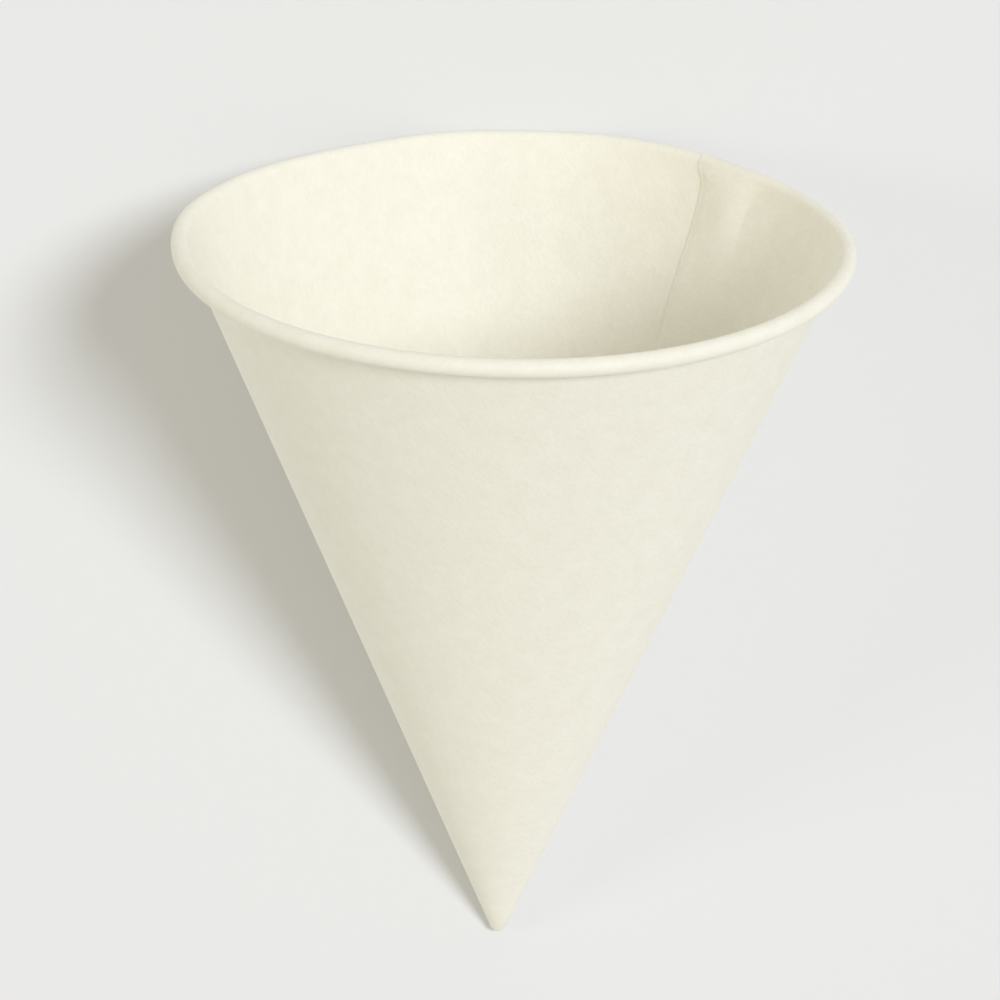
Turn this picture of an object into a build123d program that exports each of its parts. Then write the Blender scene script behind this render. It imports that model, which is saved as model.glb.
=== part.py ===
from build123d import *
import math
import os

# A cone paper cup: one sheet of paper wound once round into a cone, glued where its two
# ends lap, sealed at the tip and rolled outward at the mouth. It lies on its side.
# Lengths are in millimetres and angles in degrees.

# Driving dimensions
rim_diameter = 77.0  # across the outside of the rolled rim
cup_height = 95.0  # along the axis, from the tip to the top of the rolled rim
paper_thickness = 0.3
rim_roll_diameter = 2.0
rim_roll_gap = 0.1  # between the sheet's rolled edge and the wall
rim_roll_flats = 12  # short flats that bend the roll, from the wall over to the floor
rim_edge_flats = 4  # and on from there to the sheet's edge
lap_width = 9.6  # one end of the sheet over the other, at the mouth
glue_squeeze = 0.02  # how far the glue presses the two layers of the lap together
seam_angle = 41.0  # round the cup, from the side it lies on to the sheet's inner end
tip_width = 1.8  # across the blunt tip
tip_bevel = 0.45  # on the blunt tip's edge
tip_seal_height = 3.0  # from the tip up to where the cup is hollow
rest_flat_depth = 0.2  # how far the rim is pressed flat where the cup lies on it

# The wall's outside runs straight from the tip's corner to the inside of the rolled rim.
# Points of the section are given as (distance from the axis, height above the tip).
roll_radius = rim_roll_diameter / 2
roll_inside_radius = roll_radius - paper_thickness
roll_centre = (rim_diameter / 2 - roll_radius, cup_height - roll_radius)
tip_corner = (tip_width / 2, tip_bevel)
corner_to_roll = math.dist(tip_corner, roll_centre)
roll_slope = math.degrees(
    math.atan2(roll_centre[0] - tip_corner[0], roll_centre[1] - tip_corner[1])
)
wall_angle = roll_slope - math.degrees(math.asin(roll_inside_radius / corner_to_roll))

# The cup lies on the tip's corner and on the rim's flat spot, which sets the axis's tilt.
lying_angle = roll_slope + math.degrees(
    math.asin((roll_radius - rest_flat_depth) / corner_to_roll)
)

# In its one turn the sheet moves outward by a layer. Each half turn is round, and the
# second one's centre stands half a layer nearer to the seam.
wall_cosine = math.cos(math.radians(wall_angle))
wall_tangent = math.tan(math.radians(wall_angle))
layer_step = (paper_thickness - glue_squeeze) / wall_cosine
centre_step = layer_step / 2

# The sheet's two ends run straight to the tip, so the lap narrows with the cone.
mouth_radius = roll_centre[0] - roll_radius * wall_cosine
lap_angle = math.degrees(lap_width / mouth_radius)


def point_round(centre, radius, angle):
    """The point at an angle and distance from a centre."""
    turn = math.radians(angle)
    return (centre[0] + radius * math.cos(turn), centre[1] + radius * math.sin(turn))


def sheet_section(outward):
    """The wall with its rolled rim and sealed tip, moved outward from the winding axis."""
    roll = (roll_centre[0] + outward, roll_centre[1])
    corner = (tip_corner[0] + outward, tip_corner[1])
    # The roll leaves the wall towards the mouth and turns over and back towards the wall. Its
    # flats stay within 0.01 mm of round outside, and one of its corners points at the floor.
    roll_start = 180 - wall_angle
    bend = (roll_start + lying_angle) / rim_roll_flats
    bends = rim_roll_flats + rim_edge_flats
    roll_outside = [
        point_round(roll, roll_radius, roll_start - bend * step) for step in range(bends + 1)
    ]
    roll_inside = [
        point_round(roll, roll_inside_radius, roll_start - bend * step)
        for step in range(0, bends + 1, 2)
    ]
    # The sheet's last stretch runs straight and ends just short of the wall's outside
    edge_bottom = roll_outside[-1][1]
    edge_top = roll_inside[-1][1]
    edge_radius = corner[0] + (edge_top - corner[1]) * wall_tangent + rim_roll_gap / wall_cosine
    # The inner face meets the seal at the seal's height
    inner_corner_radius = corner[0] - paper_thickness / wall_cosine
    seal_radius = inner_corner_radius + (tip_seal_height - corner[1]) * wall_tangent
    outline = Polyline(
        *roll_outside,
        (edge_radius, edge_bottom),
        (edge_radius, edge_top),
        *reversed(roll_inside),
        corner,
        (corner[0] - tip_bevel, 0),
        (0, 0),
        (0, tip_seal_height),
        (seal_radius, tip_seal_height),
        close=True,
    )
    return Plane.XZ * make_face(outline)


def wound_sheet():
    """The whole sheet, standing on its tip, with its inner end in the +X half plane."""
    clockwise = Axis((0, 0, 0), (0, 0, -1))
    first_half = revolve(sheet_section(0), clockwise, 180)
    second_centre = Axis((0, 0, 0), (0, 0, 1))
    second_half = revolve(sheet_section(centre_step), second_centre, 180)
    second_half = Pos(centre_step, 0, 0) * second_half
    lap = revolve(sheet_section(layer_step), clockwise, lap_angle)
    return first_half + second_half + lap


def lay_on_side(cup):
    """Turn the cup onto its side, mouth towards +Y, and press its rim flat on the floor."""
    cup = Rot(0, 0, 90 - seam_angle) * cup
    cup = Rot(lying_angle - 90, 0, 0) * cup
    box = cup.bounding_box()
    cup = Pos(0, 0, -box.min.Z - rest_flat_depth) * cup
    lean = math.radians(lying_angle)
    rim_reach = roll_centre[0] * math.sin(lean) + roll_centre[1] * math.cos(lean)
    past_roll = 2 * rim_roll_diameter
    pressed_off = Pos(0, rim_reach, -past_roll / 2) * Box(rim_diameter, 2 * past_roll, past_roll)
    return cup - pressed_off


def centre_on_floor(cup):
    """Move the cup so that the middle of its footprint is the origin."""
    box = cup.bounding_box()
    return Pos(-box.center().X, -box.center().Y, 0) * cup


cone_cup = centre_on_floor(lay_on_side(wound_sheet()))
cone_cup.label = "cone_cup"

os.makedirs("parts", exist_ok=True)
export_step(cone_cup, "parts/cone_cup.step")

box = cone_cup.bounding_box()
print("wall angle", round(wall_angle, 3), "lying angle", round(lying_angle, 3))
print("volume", round(cone_cup.volume, 1), "size", box.size)
print("lowest", round(box.min.Z, 4), "highest", round(box.max.Z, 4))
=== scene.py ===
import math

import bmesh
import bpy
from mathutils import Matrix, Vector, noise


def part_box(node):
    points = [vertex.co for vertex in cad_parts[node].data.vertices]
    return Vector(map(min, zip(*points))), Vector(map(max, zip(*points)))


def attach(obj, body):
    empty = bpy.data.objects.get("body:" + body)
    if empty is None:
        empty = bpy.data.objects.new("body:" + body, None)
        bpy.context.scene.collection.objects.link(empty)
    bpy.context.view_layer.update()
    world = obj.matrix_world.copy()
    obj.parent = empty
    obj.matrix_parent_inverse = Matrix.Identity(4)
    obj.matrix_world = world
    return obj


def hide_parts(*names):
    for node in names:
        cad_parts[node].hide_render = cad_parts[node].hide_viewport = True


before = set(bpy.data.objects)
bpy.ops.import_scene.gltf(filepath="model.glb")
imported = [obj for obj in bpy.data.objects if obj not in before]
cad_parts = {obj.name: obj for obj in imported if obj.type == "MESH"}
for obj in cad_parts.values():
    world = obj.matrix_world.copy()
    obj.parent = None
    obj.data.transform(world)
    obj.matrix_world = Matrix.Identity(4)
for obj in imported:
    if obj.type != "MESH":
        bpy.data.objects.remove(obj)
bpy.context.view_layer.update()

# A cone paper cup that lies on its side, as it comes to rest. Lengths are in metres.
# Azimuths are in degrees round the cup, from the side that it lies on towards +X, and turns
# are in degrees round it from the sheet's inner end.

MM = 0.001

# The sheet, as the frame has it
RIM_RADIUS = 38.5 * MM
CUP_HEIGHT = 95.0 * MM
PAPER = 0.3 * MM
ROLL_RADIUS = 1.0 * MM
ROLL_GAP = 0.1 * MM
LAP_WIDTH = 9.6 * MM
GLUE_SQUEEZE = 0.02 * MM
SEAM_AZIMUTH = 41.0
TIP_WIDTH = 1.8 * MM
TIP_BEVEL = 0.45 * MM
TIP_SEAL = 3.0 * MM
REST_FLAT = 0.2 * MM

# The glued ends of the sheet are pressed thinner towards their cut edges
EDGE_PRESS = 0.16 * MM
EDGE_PRESS_TURN = 2.5

# At the lap the roll holds two layers, which makes it thicker
LAP_ROLL_RADIUS = 1.14 * MM
LAP_ROLL_EASE = 8.0  # degrees that the roll takes to go back to one layer's size

# How the real rim strays from a true circle: (azimuth, width in degrees, height). The bends
# fade out towards the tip, and near the side that the cup lies on.
RIM_BENDS = (
    (-79.0, 12.0, 0.45 * MM),
    (-34.0, 20.0, -1.30 * MM),
    (13.0, 24.0, 0.90 * MM),
    (51.0, 8.0, -0.60 * MM),
    (90.0, 24.0, 0.60 * MM),
)
RIM_BEND_POWER = 1.5  # of the share of the cup's height
RIM_HELD_WIDTH = 12.0  # degrees

# Below the rim the stiff lap arches inward between two creases. The first one is the seam.
# The second one stands outward, and near the roll it swings further round.
LAP_ARCH = 0.60 * MM
LAP_ARCH_TOP = -1.0 * MM  # depth below the roll's middle where the arch begins
LAP_ARCH_FULL = 2.0 * MM  # depth from where it has its whole height
LAP_ARCH_DEPTH = 7.0 * MM  # over which it fades out
LAP_ARCH_LEAN = 0.2  # towards the second crease
LAP_CREASE_AZIMUTH = 54.8
LAP_CREASE = 0.25 * MM
LAP_CREASE_WIDTH = 4.0  # degrees
LAP_CREASE_SWING = 4.0  # degrees
LAP_CREASE_SWING_DEPTH = 1.5 * MM

# How the seam swings round the cup: (depth below the roll's middle, length, degrees)
SEAM_BOWS = (
    (0.0, 1.2 * MM, -1.7),
    (6.0 * MM, 6.0 * MM, 0.9),
)
SEAM_BOW_WIDTH = 12.0  # degrees of the wall that swing with it

# The slight waves of wound paper, longer along the cup than round it: (share of their
# height, how busy they are round the cup, length along it, where their noise starts)
WALL_WAVE = 0.05 * MM
WALL_WAVES = (
    (1.0, 2.1, 60 * MM, 0),
    (0.4, 6.0, 25 * MM, 7),
)
WAVE_START = 0.02  # share of the cup's height where the waves begin
WAVE_FULL = 0.3  # and from where they have their whole height
WAVE_HELD_WIDTH = 10.0  # degrees of the side that the cup lies on without waves

# Where the photograph's camera stands, from the middle of the rim, and where it looks
CAMERA_AZIMUTH = 1.0  # of the side of the rim that is farthest from the camera
CAMERA_SIDE = -0.8 * MM
CAMERA_FRONT = 292.7 * MM
CAMERA_RISE = 106.9 * MM
CAMERA_PITCH = 25.5  # degrees down from the plane of the rim
CAMERA_ROLL = -1.1  # degrees
PHOTO_FOCAL = 1.237  # the photograph's lens, in widths of the photograph
ZOOM = 2.2  # how much longer the lens is here, because the cup is small in the photograph
SENSOR = 36.0  # millimetres across

# The paper's colour where it is thinnest and where it is densest
PAPER_THIN = (0.888, 0.864, 0.750, 1)
PAPER_DENSE = (0.954, 0.936, 0.838, 1)
CLOUD_SHARE = 0.4  # how much of the colour's change is cloudiness; the rest is fibres

# Its grain, in lumps of noise to a metre of the flat sheet, each way
CLOUD_SCALE = (420, 300, 1)
FIBRE_SCALE = (2600, 900, 1)
TOOTH_SCALE = (9000, 6000, 1)
NOISE_RANGE = (0.3, 0.7)  # which holds nearly all of the noise's values
OUTER_FACE_SHIFT = 0.5  # along the map, so that the outer face has its own grain

# Its finish
PAPER_ROUGHNESS = (0.50, 0.66)
PAPER_SPECULAR = 0.35
GRAIN_HEIGHT = 0.04 * MM
GRAIN_STRENGTH = 0.9
TOOTH_RELIEF = 0.4  # share of the grain's height

# The two suns: the direction towards each, its strength and its colour
KEY_DIRECTION = (0.44, 0.12, 0.89)
KEY_STRENGTH = 1.62
KEY_COLOUR = (0.892, 0.918, 1.0)
FILL_DIRECTION = (-0.90, 0.0, 0.43)
FILL_STRENGTH = 0.32
FILL_COLOUR = (1.0, 0.93, 0.74)
SUN_WIDTH = 17.0  # degrees, which softens the shadows

# The surround as it lights the cup, and as the camera sees it
SURROUND = (1.0, 0.975, 0.875, 1)
SURROUND_STRENGTH = 0.57
BACKDROP = (0.830, 0.831, 0.813, 1)

FLOOR = (0.80, 0.804, 0.812, 1)
FLOOR_ROUGHNESS = 0.9
FLOOR_SPECULAR = 0.1
FLOOR_REACH = 3.0  # from the middle to each side
FLOOR_DROP = 0.02 * MM  # below the cup's flat spot, so that the two don't coincide

# How finely the mesh is divided
INNER_WALL_STEPS = 52
OUTER_WALL_STEPS = 44
INNER_WALL_CROWD = 1.5  # how much closer the steps get towards the rim, where 1 is not at all
OUTER_WALL_CROWD = 1.3
ROLL_STEPS = 32
ROLL_END_STEPS = 4
LAP_COLUMN = 0.25  # degrees between the mesh's lines on the lap
LAP_BORDER = 3.0  # degrees of the wall beside it that are nearly as fine
LAP_BORDER_COLUMN = 0.3  # degrees between the lines there
WALL_COLUMNS = 345  # round the rest of the cup
EDGE_INDEX = INNER_WALL_STEPS + ROLL_STEPS + ROLL_END_STEPS + 1  # where the sheet's edge is
WELD_DISTANCE = 0.0004 * MM
SLIVER_LENGTH = 0.0002 * MM
SHARP_ANGLE = 38.0  # degrees, from where an edge is left sharp

# The section of the sheet, as (distance from the axis, height above the tip)
roll_inside = ROLL_RADIUS - PAPER
roll_centre = (RIM_RADIUS - ROLL_RADIUS, CUP_HEIGHT - ROLL_RADIUS)
tip_corner = (TIP_WIDTH / 2, TIP_BEVEL)
tip_flat = TIP_WIDTH / 2 - TIP_BEVEL
corner_to_roll = math.dist(tip_corner, roll_centre)
roll_slope = math.atan2(roll_centre[0] - tip_corner[0], roll_centre[1] - tip_corner[1])
wall_slope = roll_slope - math.asin(roll_inside / corner_to_roll)
lying_slope = roll_slope + math.asin((ROLL_RADIUS - REST_FLAT) / corner_to_roll)
layer_step = (PAPER - GLUE_SQUEEZE) / math.cos(wall_slope)
mouth_radius = roll_centre[0] - ROLL_RADIUS * math.cos(wall_slope)
lap_angle = math.degrees(LAP_WIDTH / mouth_radius)

# The cup's axis, and the direction from it to the side that the cup lies on
cup_axis = Vector((0, math.cos(lying_slope), math.sin(lying_slope)))
lying_side = Vector((0, math.sin(lying_slope), -math.cos(lying_slope)))
right_side = Vector((1, 0, 0))


def smooth(start, end, x):
    """0 before start, 1 after end, and a smooth step in between."""
    t = min(max((x - start) / (end - start), 0.0), 1.0)
    return t * t * (3 - 2 * t)


def hill(middle, width, x):
    """A smooth hill, 1 high at the middle."""
    return math.exp(-(((x - middle) / width) ** 2))


def nearest_turn(azimuth):
    """The azimuth between -180 and 180 degrees."""
    return (azimuth + 180) % 360 - 180


def winding(turn):
    """How far out the sheet lies, at a turn from its inner end. It moves out by a layer in
    the second half of its round."""
    if turn <= 180:
        return 0.0
    if turn >= 360:
        return layer_step
    return layer_step / 2 * (1 + math.cos(math.radians(turn)))


def layers(turn, lapped):
    """How far out the inner face and the outer face of the wall lie."""
    if not lapped:
        return winding(turn), winding(turn)
    inner_press = EDGE_PRESS * (1 - smooth(0, EDGE_PRESS_TURN, turn))
    outer_press = EDGE_PRESS * (1 - smooth(0, EDGE_PRESS_TURN, lap_angle - turn))
    return winding(turn) + inner_press, winding(turn + 360) - outer_press


# The cup's point touches the floor and the -Y side of the frame's box. The sheet lies
# further out on the -X side, so the axis stands a little towards +X.
tip = Vector(
    (
        (winding(270 - SEAM_AZIMUTH) - winding(90 - SEAM_AZIMUTH)) / 2,
        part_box("cone_cup")[0].y + tip_flat * math.sin(lying_slope),
        (tip_corner[0] + winding(360 - SEAM_AZIMUTH)) * math.cos(lying_slope)
        - tip_corner[1] * math.sin(lying_slope),
    )
)
rim_middle = tip + cup_axis * roll_centre[1]


def outward(azimuth):
    """The direction from the axis at an azimuth."""
    a = math.radians(azimuth)
    return lying_side * math.cos(a) + right_side * math.sin(a)


def rim_shape(azimuth):
    """How far the rim stands out from a true circle."""
    bends = sum(height * hill(middle, width, azimuth) for middle, width, height in RIM_BENDS)
    return bends * (1 - hill(0, RIM_HELD_WIDTH, azimuth))


def lap_arch(azimuth, depth):
    """How far the lap arches inward, at a depth below the middle of the roll."""
    crease = LAP_CREASE_AZIMUTH + LAP_CREASE_SWING * hill(0, LAP_CREASE_SWING_DEPTH, depth)
    across = min(max((azimuth - SEAM_AZIMUTH) / (crease - SEAM_AZIMUTH), 0), 1)
    across -= LAP_ARCH_LEAN * across * (1 - across)
    along = smooth(LAP_ARCH_TOP, LAP_ARCH_FULL, depth) * hill(0, LAP_ARCH_DEPTH, depth)
    ridge = LAP_CREASE * hill(crease, LAP_CREASE_WIDTH, azimuth)
    return (LAP_ARCH * math.sin(math.pi * across) - ridge) * along


def seam_bow(azimuth, depth):
    """How many degrees the sheet swings round near the seam, at a depth below the roll."""
    swing = sum(angle * hill(middle, length, max(depth, 0)) for middle, length, angle in SEAM_BOWS)
    return swing * hill(SEAM_AZIMUTH, SEAM_BOW_WIDTH, azimuth)


def wall_wave(azimuth, height):
    """How far the wall's waves stand outward."""
    a = math.radians(azimuth)
    waves = 0.0
    for share, busy, length, start in WALL_WAVES:
        spot = Vector((busy * math.cos(a), busy * math.sin(a), height / length + start))
        waves += share * noise.noise(spot)
    return WALL_WAVE * waves


def place(azimuth, radius, height):
    """Where a point of the true cone lies on the real, bent sheet."""
    turn = nearest_turn(azimuth)
    share = min(max(height / CUP_HEIGHT, 0), 1)
    depth = roll_centre[1] - height
    waving = smooth(WAVE_START, WAVE_FULL, share) * (1 - hill(0, WAVE_HELD_WIDTH, turn))
    bend = rim_shape(turn) * share**RIM_BEND_POWER
    bend += wall_wave(turn, height) * waving
    bend -= lap_arch(turn, depth)
    turn += seam_bow(turn, depth)
    point = tip + outward(turn) * (radius + bend) + cup_axis * height
    point.z = max(point.z, 0)
    return point


def wall_heights(low, high, count, crowd):
    """Heights up the wall, closer together towards the rim."""
    return [low + (high - low) * (1 - (1 - i / count) ** crowd) for i in range(count + 1)]


def roll_radius(turn, lapped):
    """The roll's outside radius: it is larger where it holds the lap."""
    if lapped:
        return LAP_ROLL_RADIUS
    eased = smooth(lap_angle, lap_angle + LAP_ROLL_EASE, turn)
    return LAP_ROLL_RADIUS + (ROLL_RADIUS - LAP_ROLL_RADIUS) * eased


def roll_points(centre, radius, edge_radius, steps):
    """One face of the roll: from the wall over to the roll's lowest point, and straight back
    from there to the sheet's edge."""
    roll_start = math.pi - wall_slope
    roll_turn = roll_start + math.pi / 2
    found = []
    for i in range(steps + 1):
        a = roll_start - roll_turn * i / steps
        found.append((centre[0] + radius * math.cos(a), centre[1] + radius * math.sin(a)))
    for i in range(1, ROLL_END_STEPS + 1):
        share = i / ROLL_END_STEPS
        found.append((centre[0] + (edge_radius - centre[0]) * share, centre[1] - radius))
    return found


def section(turn, lapped):
    """Points of the section from the middle of the sealed tip inside to its middle outside,
    as (distance from the axis, height above the tip)."""
    tangent = math.tan(wall_slope)
    cosine = math.cos(wall_slope)
    inner, outer = layers(turn, lapped)
    outside = roll_radius(turn, lapped)
    inside = outside - PAPER - (outer - inner) * cosine
    centre = (roll_centre[0] + inner + (outside - ROLL_RADIUS) / cosine, roll_centre[1])
    seal_radius = tip_corner[0] - PAPER / cosine + (TIP_SEAL - tip_corner[1]) * tangent + inner
    corner_radius = tip_corner[0] + outer
    edge_top = centre[1] - inside
    edge_radius = corner_radius + (edge_top - tip_corner[1]) * tangent + ROLL_GAP / cosine
    outer_roll = roll_points(centre, outside, edge_radius, ROLL_STEPS)
    inner_roll = roll_points(centre, inside, edge_radius, ROLL_STEPS // 2)
    roll_foot = outer_roll[0][1]
    roll_neck = inner_roll[0][1]
    inner_heights = wall_heights(TIP_SEAL, roll_foot, INNER_WALL_STEPS, INNER_WALL_CROWD)
    outer_heights = wall_heights(tip_corner[1], roll_neck, OUTER_WALL_STEPS, OUTER_WALL_CROWD)

    points = [(0.0, TIP_SEAL)]
    for height in inner_heights[:-1]:
        points.append((seal_radius + (height - TIP_SEAL) * tangent, height))
    points += outer_roll
    points += reversed(inner_roll)
    for height in reversed(outer_heights[:-1]):
        points.append((corner_radius + (height - tip_corner[1]) * tangent, height))
    points.append((tip_flat + outer, 0.0))
    points.append((0.0, 0.0))
    return points


def columns():
    """(turn, lapped) for each line of the mesh that runs up the cup. The sheet's two ends
    each have two lines at one place, one for each side of the step."""
    found = []
    border_end = lap_angle + LAP_BORDER
    turn = 0.0
    while turn < lap_angle:
        found.append((turn, True))
        turn += LAP_COLUMN
    found.append((lap_angle, True))
    found.append((lap_angle, False))
    turn = lap_angle + LAP_COLUMN
    while turn < border_end:
        found.append((turn, False))
        turn += LAP_BORDER_COLUMN
    for i in range(WALL_COLUMNS + 1):
        found.append((border_end + (360 - border_end) * i / WALL_COLUMNS, False))
    return found


def sheet_reach(profile):
    """How far from the tip each point of the section lies along the sheet. The outer face
    goes back down from the sheet's edge."""
    reach = [0.0]
    for i, (before, after) in enumerate(zip(profile, profile[1:])):
        step = math.dist(before, after)
        reach.append(max(reach[-1] + (step if i < EDGE_INDEX else -step), 0))
    return reach


def flat_place(turn, reach, outer_face):
    """The place of a point on the flat sheet, which has the cup's tip at its corner."""
    fan = math.radians(turn) * math.sin(wall_slope)
    shift = OUTER_FACE_SHIFT if outer_face else 0.0
    return (reach * math.cos(fan) + shift, reach * math.sin(fan))


def add_faces(bm, lines, grid):
    """Join the lines of points by faces, and give each face its place on the flat sheet."""
    flat = bm.loops.layers.uv.new("sheet")
    reach = sheet_reach(section(0.0, True))
    for i, (turn, lapped) in enumerate(lines):
        line = grid[i]
        after = grid[(i + 1) % len(grid)]
        turn_after = lines[i + 1][0] if i + 1 < len(lines) else turn
        for j in range(len(reach) - 1):
            face = bm.faces.new([line[j], after[j], after[j + 1], line[j + 1]])
            spots = ((turn, j), (turn_after, j), (turn_after, j + 1), (turn, j + 1))
            outer_face = j > EDGE_INDEX
            layer = 360 if outer_face and lapped else 0
            for loop, (spot_turn, point) in zip(face.loops, spots):
                loop[flat].uv = flat_place(spot_turn + layer, reach[point], outer_face)


def sheet_mesh():
    """The wound sheet as one mesh, with a map of the flat sheet on it."""
    lines = columns()
    bm = bmesh.new()
    grid = []
    for turn, lapped in lines:
        spots = section(turn, lapped)
        azimuth = SEAM_AZIMUTH + turn
        grid.append([bm.verts.new(place(azimuth, radius, height)) for radius, height in spots])
    add_faces(bm, lines, grid)
    bmesh.ops.remove_doubles(bm, verts=bm.verts, dist=WELD_DISTANCE)
    bmesh.ops.dissolve_degenerate(bm, edges=bm.edges, dist=SLIVER_LENGTH)
    bmesh.ops.recalc_face_normals(bm, faces=bm.faces)
    mesh = bpy.data.meshes.new("cone_cup_paper")
    bm.to_mesh(mesh)
    bm.free()
    for polygon in mesh.polygons:
        polygon.use_smooth = True
    mesh.set_sharp_from_angle(angle=math.radians(SHARP_ANGLE))
    return mesh


def node(tree, kind, **values):
    """A new shader node, with its settings or sockets set by name."""
    made = tree.nodes.new(kind)
    for name, value in values.items():
        if hasattr(made, name):
            setattr(made, name, value)
        else:
            made.inputs[name.replace("_", " ")].default_value = value
    return made


def noise_on(tree, source, stretch, **settings):
    """Noise on a map that is stretched first."""
    link = tree.links.new
    mapping = node(tree, "ShaderNodeMapping", Scale=stretch)
    link(source, mapping.inputs["Vector"])
    made = node(tree, "ShaderNodeTexNoise", Scale=1.0, **settings)
    link(mapping.outputs["Vector"], made.inputs["Vector"])
    return made.outputs["Fac"]


def spread(tree, source, low, high):
    """Map a noise's usual values to a range."""
    start, end = NOISE_RANGE
    made = node(tree, "ShaderNodeMapRange", From_Min=start, From_Max=end, To_Min=low, To_Max=high)
    tree.links.new(source, made.inputs["Value"])
    return made.outputs["Result"]


def paper_material():
    """Warm white cup paper: slightly cloudy, with fine fibres that mostly run one way."""
    material = bpy.data.materials.new("cup_paper")
    material.use_nodes = True
    tree = material.node_tree
    link = tree.links.new
    surface = tree.nodes["Principled BSDF"]
    sheet = node(tree, "ShaderNodeUVMap", uv_map="sheet").outputs["UV"]
    cloud = noise_on(tree, sheet, CLOUD_SCALE, Detail=3.0, Roughness=0.5)
    fibre = noise_on(tree, sheet, FIBRE_SCALE, Detail=4.0, Roughness=0.6, Distortion=0.6)
    tooth = noise_on(tree, sheet, TOOTH_SCALE, Detail=2.0, Roughness=0.5)

    formation = node(tree, "ShaderNodeMath", operation="ADD")
    link(spread(tree, cloud, 0.0, CLOUD_SHARE), formation.inputs[0])
    link(spread(tree, fibre, 0.0, 1 - CLOUD_SHARE), formation.inputs[1])
    tone = node(tree, "ShaderNodeMix", data_type="RGBA")
    tone.inputs["A"].default_value = PAPER_THIN
    tone.inputs["B"].default_value = PAPER_DENSE
    link(formation.outputs["Value"], tone.inputs["Factor"])
    link(tone.outputs["Result"], surface.inputs["Base Color"])
    link(spread(tree, fibre, *PAPER_ROUGHNESS), surface.inputs["Roughness"])

    relief = node(tree, "ShaderNodeMath", operation="ADD")
    link(fibre, relief.inputs[0])
    link(spread(tree, tooth, 0.0, TOOTH_RELIEF), relief.inputs[1])
    bump = node(tree, "ShaderNodeBump", Strength=GRAIN_STRENGTH, Distance=GRAIN_HEIGHT)
    link(relief.outputs["Value"], bump.inputs["Height"])
    link(bump.outputs["Normal"], surface.inputs["Normal"])
    surface.inputs["Specular IOR Level"].default_value = PAPER_SPECULAR
    return material


def make_cup():
    """The dressed cup, which stands for the frame's own."""
    mesh = sheet_mesh()
    cup = bpy.data.objects.new("cone_cup_paper", mesh)
    bpy.context.scene.collection.objects.link(cup)
    mesh.materials.append(paper_material())
    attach(cup, "root")
    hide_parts("cone_cup")


def make_floor():
    """A plain pale floor."""
    mesh = bpy.data.meshes.new("floor")
    sides = ((-1, -1), (1, -1), (1, 1), (-1, 1))
    corners = [(x * FLOOR_REACH, y * FLOOR_REACH, -FLOOR_DROP) for x, y in sides]
    mesh.from_pydata(corners, [], [(0, 1, 2, 3)])
    floor = bpy.data.objects.new("floor", mesh)
    bpy.context.scene.collection.objects.link(floor)
    material = bpy.data.materials.new("floor")
    material.use_nodes = True
    surface = material.node_tree.nodes["Principled BSDF"]
    surface.inputs["Base Color"].default_value = FLOOR
    surface.inputs["Roughness"].default_value = FLOOR_ROUGHNESS
    surface.inputs["Specular IOR Level"].default_value = FLOOR_SPECULAR
    mesh.materials.append(material)


def aim(thing, position, target, up=Vector((0, 0, 1))):
    """Put a lamp or camera at a position, looking at a target."""
    away = (position - target).normalized()
    side = up.cross(away).normalized()
    turned = Matrix((side, away.cross(side), away)).transposed()
    thing.matrix_world = Matrix.Translation(position) @ turned.to_4x4()


def make_sun(name, direction, strength, colour):
    """A soft light that falls alike on the cup and on all of the floor."""
    data = bpy.data.lights.new(name, "SUN")
    data.angle = math.radians(SUN_WIDTH)
    data.energy = strength
    data.color = colour
    lamp = bpy.data.objects.new(name, data)
    bpy.context.scene.collection.objects.link(lamp)
    aim(lamp, rim_middle + Vector(direction), rim_middle)


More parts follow.
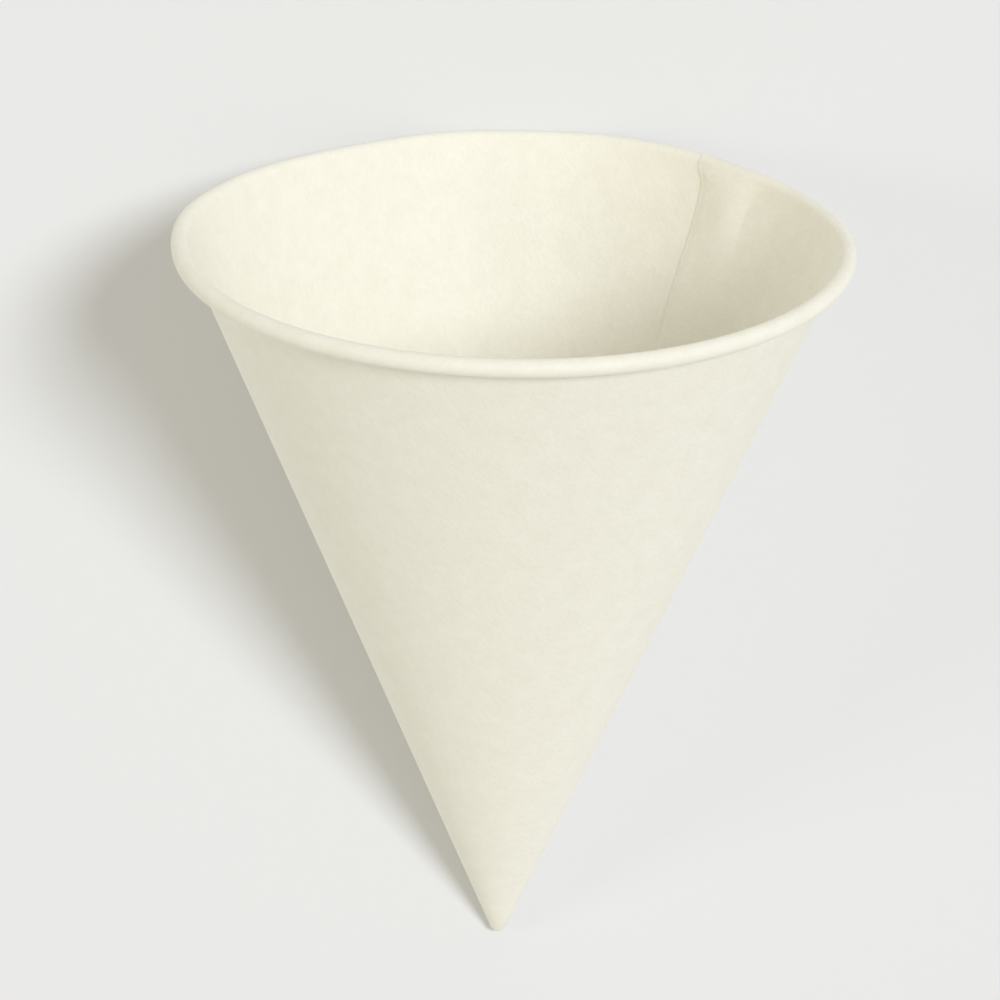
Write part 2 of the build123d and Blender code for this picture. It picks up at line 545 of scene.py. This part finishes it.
def make_surround():
    """An even pale surround. The camera and mirrored rays see it as a backdrop that
    continues the floor."""
    world = bpy.data.worlds.new("surround")
    bpy.context.scene.world = world
    world.use_nodes = True
    tree = world.node_tree
    link = tree.links.new
    surround = tree.nodes["Background"]
    surround.inputs["Color"].default_value = SURROUND
    surround.inputs["Strength"].default_value = SURROUND_STRENGTH
    backdrop = node(tree, "ShaderNodeBackground", Color=BACKDROP, Strength=1.0)
    path = tree.nodes.new("ShaderNodeLightPath")
    sees_backdrop = path.outputs["Is Camera Ray"]
    for ray in ("Is Glossy Ray", "Is Transmission Ray"):
        either = node(tree, "ShaderNodeMath", operation="MAXIMUM")
        link(sees_backdrop, either.inputs[0])
        link(path.outputs[ray], either.inputs[1])
        sees_backdrop = either.outputs["Value"]
    seen = tree.nodes.new("ShaderNodeMixShader")
    link(sees_backdrop, seen.inputs["Fac"])
    link(surround.outputs["Background"], seen.inputs[1])
    link(backdrop.outputs["Background"], seen.inputs[2])
    link(seen.outputs["Shader"], tree.nodes["World Output"].inputs["Surface"])


def make_light():
    """A soft key light from above right, a weak warm fill from the left, and a surround."""
    make_sun("key", KEY_DIRECTION, KEY_STRENGTH, KEY_COLOUR)
    make_sun("fill", FILL_DIRECTION, FILL_STRENGTH, FILL_COLOUR)
    make_surround()


def make_camera():
    """The photograph's standpoint and direction, through a longer lens."""
    data = bpy.data.cameras.new("camera")
    data.sensor_width = SENSOR
    data.lens = SENSOR * PHOTO_FOCAL * ZOOM
    data.clip_start = 0.01
    data.clip_end = 20
    camera = bpy.data.objects.new("camera", data)
    bpy.context.scene.collection.objects.link(camera)
    far_side = outward(CAMERA_AZIMUTH)
    right = outward(CAMERA_AZIMUTH + 90)
    position = rim_middle + right * CAMERA_SIDE - far_side * CAMERA_FRONT + cup_axis * CAMERA_RISE
    pitch = math.radians(CAMERA_PITCH)
    roll = math.radians(CAMERA_ROLL)
    forward = far_side * math.cos(pitch) - cup_axis * math.sin(pitch)
    level_up = far_side * math.sin(pitch) + cup_axis * math.cos(pitch)
    aim(camera, position, position + forward, up=right * math.sin(roll) + level_up * math.cos(roll))
    bpy.context.scene.camera = camera


make_cup()
make_floor()
make_light()
make_camera()
bpy.context.scene.view_settings.view_transform = "Standard"
